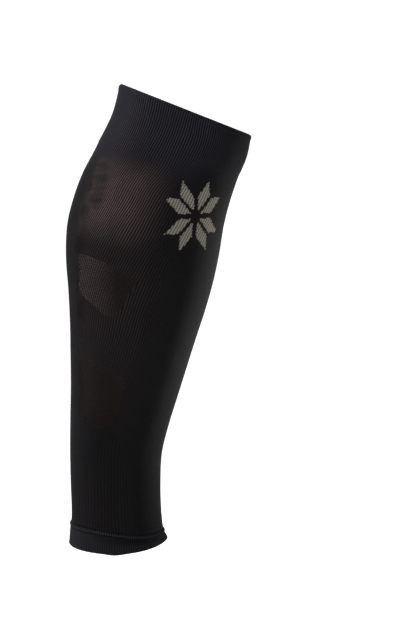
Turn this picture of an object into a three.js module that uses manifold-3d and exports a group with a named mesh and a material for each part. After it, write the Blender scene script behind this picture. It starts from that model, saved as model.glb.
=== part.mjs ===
// A knitted calf compression sleeve with the form that it has on a leg.
// Millimetres, +Z up. The shin faces -Y and the outer side of the leg faces -X.
// The origin is the middle of the leg where the calf is thickest.

import * as THREE from 'three';
import { mergeVertices } from 'three/addons/utils/BufferGeometryUtils.js';
import Module from 'manifold-3d';

// The leg under the sleeve
const calfDepth = 118; // shin to calf
const calfWidth = 115; // inner side to outer side
const ankleDepth = 68;
const ankleWidth = 76;
const mouthDepth = 106;
const mouthWidth = 104;
const riseToCalf = 237; // hem edge to the thickest level, at the middle of the leg
const riseToMouth = 100; // from there to the edge of the cuff
const ankleAft = 22; // how far the ankle lies behind the calf's middle
const mouthFore = 33; // how far the knee end lies in front of it
const calfLean = 10; // degrees that a course of the knit drops towards the shin
const mouthLean = 21.5;
const hemLean = -4;

// Cloth
const tubeWall = 1.2;
const cuffWall = 1.6;
const hemWall = 1.8;
const ventWall = 0.7;
const ventBandWall = 1.05;
const ventRecess = 0.15; // the sheer knit lies this far off the inner face of the tube
const joinGap = 0.3;

// Cuff, welt and hem
const cuffRise = 40.5; // height of the cuff at the middle of the leg
const cuffStep = 5; // height over which the cuff thickens from the tube's wall to its own
const cuffRibs = 64;
const cuffRibRelief = 0.35;
const cuffRollHeight = 5; // the rolled edge of the cuff
const cuffRollOut = 0.5;
const cuffCurl = 2.6; // the radius of the edge where it turns inwards
const hemRise = 9.6;
const hemRibs = 56;
const hemRibRelief = 0.3;
const hemDroop = 5.9; // how much lower the hem hangs on the outer side
const hemLift = 0.8; // how much higher its edge is on the inner side
const hemPoint = 0.9; // how much lower still its edge is where it comes to a point
const creaseDepth = 1.7; // the crease under the welt
const creaseSag = 1.5; // how far the welt sags above the crease
const weltHeight = 2.6;
const weltOut = 1.1; // how far the welt stands out of the tube
const edgeRounding = 0.6;
const ventBandHeight = 2.4; // the darker bands that cross the upper window

// Places round the leg, as shares of a turn from the back round the outer side
const droopMiddle = 0.31;
const pointMiddle = 0.25;
const pointSpread = 0.03;
const creaseMiddle = 0.33;
const creaseSpread = 0.08;

// Fineness of the facets
const tubeColumns = 56;
const tubeSteps = 16;
const tubeInnerSteps = 8;
const outlineSamples = 240;
const ventOutlineSamples = 18;

// Half of the depth and a little more lies in front of the widest line, because the shin is sharper.
const shinShare = 0.54;
const shinPower = 1.86;
const calfPower = 2.12;

// The leg from the calf down. at: share of riseToCalf. swell: 1 is the calf's size and 0 the ankle's.
// aft: share of ankleAft. lean: share of calfLean.
const lowerLeg = [
  { at: 0.0, swell: 1.0, aft: 0.0, lean: 1.0 },
  { at: 0.1, swell: 0.92, aft: 0.13, lean: 0.92 },
  { at: 0.2, swell: 0.755, aft: 0.23, lean: 0.8 },
  { at: 0.3, swell: 0.58, aft: 0.37, lean: 0.7 },
  { at: 0.4, swell: 0.425, aft: 0.53, lean: 0.7 },
  { at: 0.5, swell: 0.275, aft: 0.69, lean: 0.67 },
  { at: 0.6, swell: 0.14, aft: 0.86, lean: 0.55 },
  { at: 0.7, swell: 0.035, aft: 0.99, lean: 0.36 },
  { at: 0.8, swell: 0.003, aft: 1.01, lean: 0.18 },
  { at: 0.9, swell: 0.0, aft: 0.98, lean: 0.1 },
  { at: 0.96, swell: 0.05, aft: 0.945, lean: 0.15 },
];

// The leg from the calf up. at: share of riseToMouth. swell: 1 is the calf's size and 0 the mouth's.
// fore: share of mouthFore. lean: 0 is calfLean and 1 mouthLean.
const upperLeg = [
  { at: 0.2, swell: 0.88, fore: 0.12, lean: 0.0 },
  { at: 0.4, swell: 0.69, fore: 0.31, lean: 0.04 },
  { at: 0.6, swell: 0.36, fore: 0.575, lean: 0.13 },
  { at: 0.8, swell: 0.04, fore: 0.855, lean: 0.6 },
  { at: 1.0, swell: 0.0, fore: 1.0, lean: 1.0 },
];
const hemEdge = { swell: 0.125, aft: 0.915 };

const mix = (from, to, share) => from + (to - from) * share;

// All rows of the leg from the hem up, in millimetres and degrees
const legRows = [
  {
    at: -riseToCalf,
    aft: hemEdge.aft * ankleAft,
    lean: hemLean,
    depth: mix(ankleDepth, calfDepth, hemEdge.swell),
    width: mix(ankleWidth, calfWidth, hemEdge.swell),
  },
  ...lowerLeg.toReversed().map((row) => ({
    at: -row.at * riseToCalf,
    aft: row.aft * ankleAft,
    lean: row.lean * calfLean,
    depth: mix(ankleDepth, calfDepth, row.swell),
    width: mix(ankleWidth, calfWidth, row.swell),
  })),
  ...upperLeg.map((row) => ({
    at: row.at * riseToMouth,
    aft: -row.fore * mouthFore,
    lean: mix(calfLean, mouthLean, row.lean),
    depth: mix(mouthDepth, calfDepth, row.swell),
    width: mix(mouthWidth, calfWidth, row.swell),
  })),
];

// Reads one column of the rows at a height, on a smooth curve through them.
function readRows(rise, column) {
  const last = legRows.length - 1;
  let row = 0;
  while (row < last - 1 && rise > legRows[row + 1].at) row += 1;
  const [before, from, to, after] = [row - 1, row, row + 1, row + 2]
    .map((index) => legRows[THREE.MathUtils.clamp(index, 0, last)]);
  const span = to.at - from.at;
  const share = (rise - from.at) / span;
  const slopeFrom = (to[column] - before[column]) / (to.at - before.at) * span;
  const slopeTo = (after[column] - from[column]) / (after.at - from.at) * span;
  const square = share * share;
  const cube = square * share;
  return from[column] * (2 * cube - 3 * square + 1) + slopeFrom * (cube - 2 * square + share)
    + to[column] * (3 * square - 2 * cube) + slopeTo * (cube - square);
}

// The outline of the leg at a height: forward and sideways, from the back round the outer side.
function legOutline(depth, width) {
  const points = [];
  for (let index = 0; index < outlineSamples; index += 1) {
    const angle = index / outlineSamples * 2 * Math.PI;
    const forward = -Math.cos(angle);
    const side = Math.sin(angle);
    const power = 2 / (forward > 0 ? shinPower : calfPower);
    const reach = depth * (forward > 0 ? shinShare : 1 - shinShare);
    points.push(new THREE.Vector2(
      Math.sign(forward) * Math.abs(forward) ** power * reach + depth * (0.5 - shinShare),
      Math.sign(side) * Math.abs(side) ** power * width / 2,
    ));
  }
  return points;
}

// Points at equal steps round the leg, moved outwards by what outAt gives for each share of a turn.
function legRing(rise, columns, outAt, dropAt) {
  const outline = legOutline(readRows(rise, 'depth'), readRows(rise, 'width'));
  const lengths = [0];
  outline.forEach((point, index) => {
    lengths.push(lengths[index] + point.distanceTo(outline[(index + 1) % outline.length]));
  });
  const aft = readRows(rise, 'aft');
  const lean = THREE.MathUtils.degToRad(readRows(rise, 'lean'));
  const ring = [];
  let piece = 0;
  for (let column = 0; column < columns; column += 1) {
    const turn = column / columns;
    const along = turn * lengths[outline.length];
    while (lengths[piece + 1] < along) piece += 1;
    const from = outline[piece];
    const to = outline[(piece + 1) % outline.length];
    const share = (along - lengths[piece]) / (lengths[piece + 1] - lengths[piece]);
    const point = from.clone().lerp(to, share);
    const before = outline[(piece + outline.length - 1) % outline.length];
    const after = outline[(piece + 2) % outline.length];
    const tangent = to.clone().sub(before).lerp(after.clone().sub(from), share).normalize();
    point.addScaledVector(new THREE.Vector2(-tangent.y, tangent.x), outAt(turn));
    ring.push(new THREE.Vector3(
      -point.y,
      aft - point.x * Math.cos(lean),
      rise - point.x * Math.sin(lean) - dropAt(turn),
    ));
  }
  return ring;
}

// A swell from 0 to 1 and back in one turn, highest at the middle
const swellRound = (turn, middle) => (0.5 + 0.5 * Math.cos(2 * Math.PI * (turn - middle))) ** 3;

// A short bump that is 1 at the middle
const bumpRound = (turn, middle, spread) => Math.exp(-(((turn - middle) / spread) ** 2));
const droopAt = (turn) => hemDroop * swellRound(turn, droopMiddle) - hemLift
  + hemPoint * bumpRound(turn, pointMiddle, pointSpread);
const creaseAt = (turn) => bumpRound(turn, creaseMiddle, creaseSpread);

// Even ribs, 0 on their crests and -1 between them
const ribs = (turn, count) => 0.5 * Math.cos(2 * Math.PI * count * turn) - 0.5;

// A ring of cloth. The profile runs up its outer face and down its inner face, and closes on itself.
// droop and sag: a row's shares of how much lower it hangs round the hem's edge and at the crease.
function ringOfCloth(profile, columns, relief = () => 0) {
  const positions = [];
  for (const row of profile) {
    const outAt = (turn) => row.out + relief(turn, row);
    const dropAt = (turn) => (row.droop ?? 0) * droopAt(turn) + (row.sag ?? 0) * creaseSag * creaseAt(turn);
    for (const point of legRing(row.rise, columns, outAt, dropAt)) positions.push(...point.toArray());
  }
  const indices = [];
  for (let row = 0; row < profile.length; row += 1) {
    const lower = row * columns;
    const upper = (row + 1) % profile.length * columns;
    for (let column = 0; column < columns; column += 1) {
      const next = (column + 1) % columns;
      indices.push(lower + column, lower + next, upper + column);
      indices.push(lower + next, upper + next, upper + column);
    }
  }
  const geometry = new THREE.BufferGeometry();
  geometry.setAttribute('position', new THREE.Float32BufferAttribute(positions, 3));
  geometry.setIndex(indices);
  return geometry;
}

// Heights at even steps between two levels, both ends included
function evenSteps(from, to, steps) {
  return Array.from({ length: steps + 1 }, (_, index) => mix(from, to, index / steps));
}

const knitMaterial = new THREE.MeshStandardMaterial({ color: 0x18161a, roughness: 0.85, metalness: 0 });
const cuffMaterial = new THREE.MeshStandardMaterial({ color: 0x211f26, roughness: 0.85, metalness: 0 });
const sheerMaterial = new THREE.MeshStandardMaterial({ color: 0x2d2422, roughness: 0.9, metalness: 0 });

const sleeve = new THREE.Group();

function addPiece(name, geometry, material) {
  geometry.computeVertexNormals();
  const mesh = new THREE.Mesh(geometry, material);
  mesh.name = name;
  sleeve.add(mesh);
}

// Booleans
const wasm = await Module();
wasm.setup();

function toSolid(geometry) {
  const bare = geometry.clone();
  bare.deleteAttribute('normal');
  bare.deleteAttribute('uv');
  const merged = mergeVertices(bare, 1e-4);
  return new wasm.Manifold(new wasm.Mesh({
    numProp: 3,
    vertProperties: new Float32Array(merged.attributes.position.array),
    triVerts: new Uint32Array(merged.index.array),
  }));
}

function toGeometry(solid) {
  const mesh = solid.getMesh();
  const geometry = new THREE.BufferGeometry();
  geometry.setAttribute('position', new THREE.BufferAttribute(new Float32Array(mesh.vertProperties), 3));
  geometry.setIndex(new THREE.BufferAttribute(new Uint32Array(mesh.triVerts), 1));
  return geometry;
}

// Levels where one piece ends and the next begins
const mouthEdge = riseToMouth;
const cuffFoot = riseToMouth - cuffRise;
const tubeTop = cuffFoot - joinGap;
const hemFoot = -riseToCalf;
const hemTop = hemFoot + hemRise;
const weltFoot = hemTop + joinGap;
const weltTop = weltFoot + weltHeight;
const tubeFoot = weltTop + joinGap;

// Upper cuff: a doubled ribbed band whose edge is rolled and turns inwards
const cuffRollFoot = mouthEdge - cuffRollHeight;
const cuffRollOuter = cuffWall + cuffRollOut;

// A point of the edge where it turns inwards, at a depth in the cloth and an angle in degrees
function curlPoint(depth, angle) {
  const turned = THREE.MathUtils.degToRad(angle);
  return {
    rise: mouthEdge - cuffCurl + (cuffCurl - depth) * Math.sin(turned),
    out: cuffRollOuter - cuffCurl + (cuffCurl - depth) * Math.cos(turned),
  };
}
const cuffProfile = [
  { rise: cuffFoot, out: tubeWall, ribbed: true },
  { rise: cuffFoot + cuffStep, out: cuffWall, ribbed: true },
  { rise: mix(cuffFoot + cuffStep, cuffRollFoot, 0.5), out: cuffWall, ribbed: true },
  { rise: cuffRollFoot, out: cuffWall, ribbed: true },
  { ...curlPoint(0, 0), ribbed: true },
  { ...curlPoint(0, 35), ribbed: true },
  curlPoint(0, 65),
  curlPoint(0, 100),
  curlPoint(cuffWall, 75),
  { rise: cuffRollFoot, out: 0 },
  { rise: mix(cuffFoot, mouthEdge, 0.5), out: 0 },
  { rise: cuffFoot, out: 0 },
];
const cuffRelief = (turn, row) => (row.ribbed ? cuffRibRelief * ribs(turn, cuffRibs) : 0);
addPiece('upper_cuff', ringOfCloth(cuffProfile, cuffRibs * 2, cuffRelief), cuffMaterial);

// Hem welt: a narrow roll between the tube and the hem, which sags above the crease
const weltProfile = [
  { rise: weltFoot, out: tubeWall },
  { rise: mix(weltFoot, weltTop, 0.25), out: tubeWall + weltOut },
  { rise: mix(weltFoot, weltTop, 0.6), out: tubeWall + weltOut },
  { rise: weltTop, out: tubeWall },
  { rise: weltTop, out: 0 },
  { rise: weltFoot, out: 0 },
].map((row) => ({ ...row, sag: 1 }));
addPiece('hem_welt', ringOfCloth(weltProfile, tubeColumns), knitMaterial);

// Hem band: doubled and ribbed, with a crease under the welt at the front of the outer side.
// crease: a row's share of creaseDepth.
const hemProfile = [
  { rise: hemFoot, out: hemWall / 2, droop: 1 },
  { rise: hemFoot + edgeRounding, out: hemWall, droop: 1, ribbed: true },
  { rise: mix(hemFoot, hemTop, 0.45), out: hemWall, droop: 0.5, ribbed: true },
  { rise: mix(hemFoot, hemTop, 0.8), out: hemWall, droop: 0.1, sag: 0.8, crease: 1, ribbed: true },
  { rise: hemTop, out: hemWall, sag: 1, crease: 0.4, ribbed: true },
  { rise: hemTop, out: 0, sag: 1 },
  { rise: mix(hemFoot, hemTop, 0.8), out: 0, droop: 0.1, sag: 0.8, crease: 0.8 },
  { rise: hemFoot + edgeRounding, out: 0, droop: 1 },
];
const hemRelief = (turn, row) => (row.ribbed ? hemRibRelief * ribs(turn, hemRibs) : 0)
  - (row.crease ?? 0) * creaseDepth * creaseAt(turn);
addPiece('hem_band', ringOfCloth(hemProfile, hemRibs * 2, hemRelief), cuffMaterial);

// Sheer windows. at, height: shares of riseToCalf, or of riseToMouth above the calf. behind, width: shares
// of the leg's depth there. outline: shares of half the width and height. bands: levels of the darker bands
// that cross a window, as shares of half its height.
const vents = [
  {
    name: 'upper',
    at: 0.439,
    behind: 0.398,
    width: 0.193,
    height: 0.451,
    bands: [0.6, 0.15, -0.56],
    outline: [
      { fore: 0.1, up: 1 }, { fore: 0.63, up: 0.91 }, { fore: 1, up: 0.61 },
      { fore: 0.94, up: 0.11 }, { fore: 0.73, up: -0.32 }, { fore: 0.46, up: -0.73 },
      { fore: 0.03, up: -1 }, { fore: -0.54, up: -0.97 }, { fore: -1, up: -0.7 },
      { fore: -0.95, up: -0.45 }, { fore: -0.64, up: -0.14 }, { fore: -0.52, up: 0.36 },
      { fore: -0.33, up: 0.76 },
    ],
  },
  {
    name: 'middle',
    at: -0.141,
    behind: 0.194,
    width: 0.406,
    height: 0.192,
    bands: [],
    outline: [
      { fore: -1, up: 1 }, { fore: -0.63, up: 0.94 }, { fore: -0.28, up: 0.82 },
      { fore: 0.06, up: 0.68 }, { fore: 0.4, up: 0.48 }, { fore: 1, up: 0.16 },
      { fore: 0.87, up: -0.07 }, { fore: 0.68, up: -0.31 }, { fore: 0.59, up: -0.58 },
      { fore: 0.15, up: -1 }, { fore: -0.12, up: -1 }, { fore: -0.57, up: -0.64 },
      { fore: -0.99, up: -0.23 }, { fore: -1, up: 0.48 },
    ],
  },
  {
    name: 'lower',
    at: -0.494,
    behind: 0.201,
    width: 0.419,
    height: 0.218,
    bands: [],
    outline: [
      { fore: -1, up: 1 }, { fore: -0.59, up: 1 }, { fore: -0.18, up: 0.96 },
      { fore: 0.14, up: 0.84 }, { fore: 0.85, up: 0.52 }, { fore: 1, up: 0.28 },
      { fore: 0.97, up: -0.03 }, { fore: 0.66, up: -0.6 }, { fore: 0.52, up: -0.84 },
      { fore: 0.16, up: -1 }, { fore: -0.2, up: -1 }, { fore: -0.56, up: -0.9 },
      { fore: -0.98, up: -0.63 }, { fore: -1, up: 0.21 },
    ],
  },
];

// A window's outline as points (y, z) in millimetres, grown outwards by a margin
function ventPoints(vent, margin) {
  const reach = vent.at > 0 ? riseToMouth : riseToCalf;
  const rise = vent.at * reach;
  const depth = readRows(rise, 'depth');
  const aft = readRows(rise, 'aft') + vent.behind * depth;
  const spots = vent.outline.map((spot) => new THREE.Vector3(
    aft - spot.fore * vent.width * depth / 2,
    rise + spot.up * vent.height * reach / 2,
    0,
  ));
  const points = new THREE.CatmullRomCurve3(spots, true, 'centripetal')
    .getSpacedPoints(ventOutlineSamples)
    .slice(1)
    .map((point) => new THREE.Vector2(point.x, point.y));
  return points.map((point, index) => {
    const before = points.at(index - 1);
    const after = points[(index + 1) % points.length];
    const into = point.clone().sub(before).normalize();
    const out = after.clone().sub(point).normalize();
    const corner = new THREE.Vector2(into.y + out.y, -into.x - out.x).normalize();
    const bend = corner.dot(new THREE.Vector2(out.y, -out.x));
    return point.clone().addScaledVector(corner, margin / bend);
  });
}

// A band across a window as points (y, z) in millimetres. It drops towards the shin as the courses do.
function bandPoints(vent, level) {
  const slope = Math.tan(THREE.MathUtils.degToRad(readRows(level, 'lean')));
  const middle = readRows(level, 'aft') + vent.behind * readRows(level, 'depth');
  const front = middle - calfDepth;
  const back = middle + calfDepth;
  const half = ventBandHeight / 2;
  return [
    new THREE.Vector2(front, level - calfDepth * slope - half),
    new THREE.Vector2(back, level + calfDepth * slope - half),
    new THREE.Vector2(back, level + calfDepth * slope + half),
    new THREE.Vector2(front, level - calfDepth * slope + half),
  ];
}

// A block of an outline that runs sideways through one side of the leg. side: -1 outer, 1 inner.
function sideBlock(points, side) {
  const block = new THREE.ExtrudeGeometry(new THREE.Shape(points), {
    depth: calfWidth, steps: 1, bevelEnabled: false,
  });
  const turned = new THREE.Matrix4().makeBasis(
    new THREE.Vector3(0, 1, 0),
    new THREE.Vector3(0, 0, 1),
    new THREE.Vector3(1, 0, 0),
  );
  block.applyMatrix4(turned);
  block.translate(side < 0 ? -calfWidth : 0, 0, 0);
  return toSolid(block);
}

// A full shell of knit. The tube is one, and the windows are cut from others.
function tubeShell(inner, outer) {
  return toSolid(ringOfCloth([
    ...evenSteps(tubeFoot, tubeTop, tubeSteps).map((rise) => ({ rise, out: outer })),
    ...evenSteps(tubeTop, tubeFoot, tubeInnerSteps).map((rise) => ({ rise, out: inner })),
  ].map((row) => ({ ...row, sag: row.rise === tubeFoot ? 1 : 0 })), tubeColumns));
}

let tube = tubeShell(0, tubeWall);
const sheerShell = tubeShell(ventRecess, ventRecess + ventWall);
const bandShell = tubeShell(ventRecess, ventBandWall);
const sides = [{ name: 'outer', sign: -1 }, { name: 'inner', sign: 1 }];

for (const vent of vents) {
  for (const side of sides) {
    tube = tube.subtract(sideBlock(ventPoints(vent, joinGap), side.sign));
    const window = sideBlock(ventPoints(vent, 0), side.sign);
    let panel = sheerShell.intersect(window);
    const bandLevels = vent.bands.map((share) => (vent.at + share * vent.height / 2) * riseToMouth);
    for (const level of bandLevels) {
      const strip = sideBlock(bandPoints(vent, level), side.sign);
      panel = panel.add(bandShell.intersect(window).intersect(strip));
    }
    addPiece(`vent_${vent.name}_${side.name}`, toGeometry(panel), sheerMaterial);
  }
}

// Calf tube: the long knitted wall with the windows' openings cut through
addPiece('calf_tube', toGeometry(tube), knitMaterial);

export default sleeve;
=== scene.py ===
import math

import bmesh
import bpy
import numpy as np
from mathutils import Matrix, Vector


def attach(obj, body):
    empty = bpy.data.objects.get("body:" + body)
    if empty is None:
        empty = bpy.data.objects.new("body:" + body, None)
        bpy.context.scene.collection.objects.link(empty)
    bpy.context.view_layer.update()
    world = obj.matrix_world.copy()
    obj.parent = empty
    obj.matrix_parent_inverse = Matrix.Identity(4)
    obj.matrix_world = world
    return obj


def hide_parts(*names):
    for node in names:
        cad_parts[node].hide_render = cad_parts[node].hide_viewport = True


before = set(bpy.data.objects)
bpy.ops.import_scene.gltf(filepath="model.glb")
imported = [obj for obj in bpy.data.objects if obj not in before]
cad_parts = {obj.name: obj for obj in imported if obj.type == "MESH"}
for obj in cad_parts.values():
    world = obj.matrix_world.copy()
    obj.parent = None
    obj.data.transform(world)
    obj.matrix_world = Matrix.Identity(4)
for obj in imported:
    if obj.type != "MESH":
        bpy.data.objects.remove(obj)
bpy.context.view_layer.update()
mm = 0.001

# A knitted calf sleeve in the form that it has on a leg. The shin faces -Y, the outer side of the leg -X.
# All sizes below are in millimetres, and the helpers turn them into metres.

leg = {
    "calfDepth": 118, "calfWidth": 115,
    "ankleDepth": 68, "ankleWidth": 76,
    "mouthDepth": 106, "mouthWidth": 104,
    "riseToCalf": 237, "riseToMouth": 100,
    "ankleAft": 22, "mouthFore": 33,
    "calfLean": 10, "mouthLean": 21.5, "hemLean": -4,
    "shinShare": 0.54, "shinPower": 1.86, "calfPower": 2.12,
    "hemEdgeSwell": 0.125, "hemEdgeAft": 0.915,
}

# The leg from the calf down: share of riseToCalf, swell from ankle to calf, shares of ankleAft and calfLean
lowerLeg = [
    {"at": 0.0, "swell": 1.0, "aft": 0.0, "lean": 1.0},
    {"at": 0.1, "swell": 0.92, "aft": 0.13, "lean": 0.92},
    {"at": 0.2, "swell": 0.755, "aft": 0.23, "lean": 0.8},
    {"at": 0.3, "swell": 0.58, "aft": 0.37, "lean": 0.7},
    {"at": 0.4, "swell": 0.425, "aft": 0.53, "lean": 0.7},
    {"at": 0.5, "swell": 0.275, "aft": 0.69, "lean": 0.67},
    {"at": 0.6, "swell": 0.14, "aft": 0.86, "lean": 0.55},
    {"at": 0.7, "swell": 0.035, "aft": 0.99, "lean": 0.36},
    {"at": 0.8, "swell": 0.003, "aft": 1.01, "lean": 0.18},
    {"at": 0.9, "swell": 0.0, "aft": 0.98, "lean": 0.1},
    {"at": 0.96, "swell": 0.05, "aft": 0.945, "lean": 0.15},
]

# The leg from the calf up: share of riseToMouth, swell from mouth to calf, share of mouthFore, and share of
# the way from the calf's lean to the mouth's
upperLeg = [
    {"at": 0.2, "swell": 0.88, "fore": 0.12, "lean": 0.0},
    {"at": 0.4, "swell": 0.69, "fore": 0.31, "lean": 0.04},
    {"at": 0.6, "swell": 0.36, "fore": 0.575, "lean": 0.13},
    {"at": 0.8, "swell": 0.04, "fore": 0.855, "lean": 0.6},
    {"at": 1.0, "swell": 0.0, "fore": 1.0, "lean": 1.0},
]

# Edges that bend by more than sharpAngle stay sharp. fillPasses is how often marks spread along a cut.
cloth = {"tubeWall": 1.2, "cuffWall": 1.6, "hemWall": 1.8, "seam": 0.06, "sharpAngle": 70, "fillPasses": 4}

# What each point of the cloth carries: how ribbed, sheer, dense and paired it is, and that its marks are set.
# The dense mark also holds painted shade at the hem's crease and the shin, and a painted highlight on the
# welt.
knitMarks = ("ribs", "sheer", "dense", "pair", "known")


# From low to high by a share
def mix(low, high, share):
    return low + (high - low) * share


# Rows of the leg from the hem up
def makeLegRows():
    rows = [{
        "at": -leg["riseToCalf"], "aft": leg["hemEdgeAft"] * leg["ankleAft"], "lean": leg["hemLean"],
        "depth": mix(leg["ankleDepth"], leg["calfDepth"], leg["hemEdgeSwell"]),
        "width": mix(leg["ankleWidth"], leg["calfWidth"], leg["hemEdgeSwell"]),
    }]
    for row in reversed(lowerLeg):
        rows.append({
            "at": -row["at"] * leg["riseToCalf"],
            "aft": row["aft"] * leg["ankleAft"],
            "lean": row["lean"] * leg["calfLean"],
            "depth": mix(leg["ankleDepth"], leg["calfDepth"], row["swell"]),
            "width": mix(leg["ankleWidth"], leg["calfWidth"], row["swell"]),
        })
    for row in upperLeg:
        rows.append({
            "at": row["at"] * leg["riseToMouth"],
            "aft": -row["fore"] * leg["mouthFore"],
            "lean": mix(leg["calfLean"], leg["mouthLean"], row["lean"]),
            "depth": mix(leg["mouthDepth"], leg["calfDepth"], row["swell"]),
            "width": mix(leg["mouthWidth"], leg["calfWidth"], row["swell"]),
        })
    return rows


legRows = makeLegRows()


# Reads one column of the rows at a height, on a smooth curve through them
def readRows(rise, column):
    last = len(legRows) - 1
    row = 0
    while row < last - 1 and rise > legRows[row + 1]["at"]:
        row += 1
    around = (row - 1, row, row + 1, row + 2)
    before, low, high, after = [legRows[min(max(index, 0), last)] for index in around]
    span = high["at"] - low["at"]
    share = (rise - low["at"]) / span
    slopeLow = (high[column] - before[column]) / (high["at"] - before["at"]) * span
    slopeHigh = (after[column] - low[column]) / (after["at"] - low["at"]) * span
    square = share * share
    cube = square * share
    return (low[column] * (2 * cube - 3 * square + 1) + slopeLow * (cube - 2 * square + share)
            + high[column] * (3 * square - 2 * cube) + slopeHigh * (cube - square))


outlineSamples = 720


# The outline of the leg at a height and its outward normals, each as (forward, side)
def legOutline(depth, width):
    angle = np.arange(outlineSamples) / outlineSamples * 2 * math.pi
    forward, side = -np.cos(angle), np.sin(angle)
    front = forward > 0
    power = np.where(front, 2 / leg["shinPower"], 2 / leg["calfPower"])
    reach = np.where(front, depth * leg["shinShare"], depth * (1 - leg["shinShare"]))
    points = np.stack([
        np.sign(forward) * np.abs(forward) ** power * reach + depth * (0.5 - leg["shinShare"]),
        np.sign(side) * np.abs(side) ** power * width / 2,
    ], axis=1)
    tangent = np.roll(points, -1, axis=0) - np.roll(points, 1, axis=0)
    normal = np.stack([-tangent[:, 1], tangent[:, 0]], axis=1)
    normal /= np.linalg.norm(normal, axis=1)[:, None]
    return points, normal


# Points in metres at shares of a turn round the leg, moved outwards by out millimetres, and their normals
def legPoints(rise, turns, out, drop=0):
    points, normal = legOutline(readRows(rise, "depth"), readRows(rise, "width"))
    steps = np.linalg.norm(np.roll(points, -1, axis=0) - points, axis=1)
    lengths = np.concatenate([[0], np.cumsum(steps)])
    along = np.mod(turns, 1) * lengths[-1]
    wrap = np.concatenate([points, points[:1]])
    wrapNormal = np.concatenate([normal, normal[:1]])
    spot = [np.interp(along, lengths, wrap[:, axis]) for axis in (0, 1)]
    way = [np.interp(along, lengths, wrapNormal[:, axis]) for axis in (0, 1)]
    lean = math.radians(readRows(rise, "lean"))
    forward, side = spot[0] + way[0] * out, spot[1] + way[1] * out
    place = np.stack([
        -side,
        readRows(rise, "aft") - forward * math.cos(lean),
        rise - forward * math.sin(lean) - drop,
    ], axis=1)
    normals = np.stack([-way[1], -way[0] * math.cos(lean), -way[0] * math.sin(lean)], axis=1)
    return place * mm, normals


# The wales are the upright lines of the knit, and they wind round the leg. Each twist gives how far, as a
# share of a turn, and between which heights. Each waver gives its reach in wales, its waves round the leg and
# the height of one wave. The spread fades in and out between the heights of foot and top.
wales = {
    "count": 180, "hem": 132, "perWale": 4, "courseHeight": 1.15,
    "twists": [{"turns": 0.085, "low": -62, "high": 46}, {"turns": 0.045, "low": -180, "high": -20}],
    "wavers": [(0.3, 3, 130), (0.2, 7, -71), (0.1, 13, 37)],
    "spread": {"share": 0.2, "foot": (-150, -110), "top": (36, 60)},
}


# 0 up to low and 1 from high on, with a soft step between them
def smooth(low, high, value):
    share = np.clip((np.asarray(value, float) - low) / (high - low), 0, 1)
    return share * share * (3 - 2 * share)


# How far the wales have turned at a height
def waleTwist(rise):
    return sum(twist["turns"] * float(smooth(twist["low"], twist["high"], rise)) for twist in wales["twists"])


# Where wales run at a height: they wind and waver a little, and on both sides of the calf they spread
def waleTurns(starts, rise):
    spread = wales["spread"]
    share = spread["share"] * smooth(*spread["foot"], rise) * (1 - smooth(*spread["top"], rise))
    turns = starts + waleTwist(rise) - share * np.sin(4 * math.pi * starts) / (4 * math.pi)
    for share, around, height in wales["wavers"]:
        turns = turns + share / wales["count"] * np.sin(2 * math.pi * (around * starts + rise / height))
    return turns


# Levels of the pieces
heights = {"cuff": 40.5, "hem": 9.6, "welt": 2.9}
level = {"mouth": leg["riseToMouth"], "hem": -leg["riseToCalf"]}
level["cuffFoot"] = level["mouth"] - heights["cuff"]
level["tubeTop"] = level["cuffFoot"] - cloth["seam"]
level["hemTop"] = level["hem"] + heights["hem"]
level["weltTop"] = level["hemTop"] + heights["welt"]
level["tubeFoot"] = level["weltTop"] + cloth["seam"]


# Courses are counted from the foot of the tube
def courseOf(rise):
    return (rise - level["tubeFoot"]) / wales["courseHeight"]


# Puts an object into the scene
def addObject(name, data):
    made = bpy.data.objects.new(name, data)
    bpy.context.collection.objects.link(made)
    return made


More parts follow.
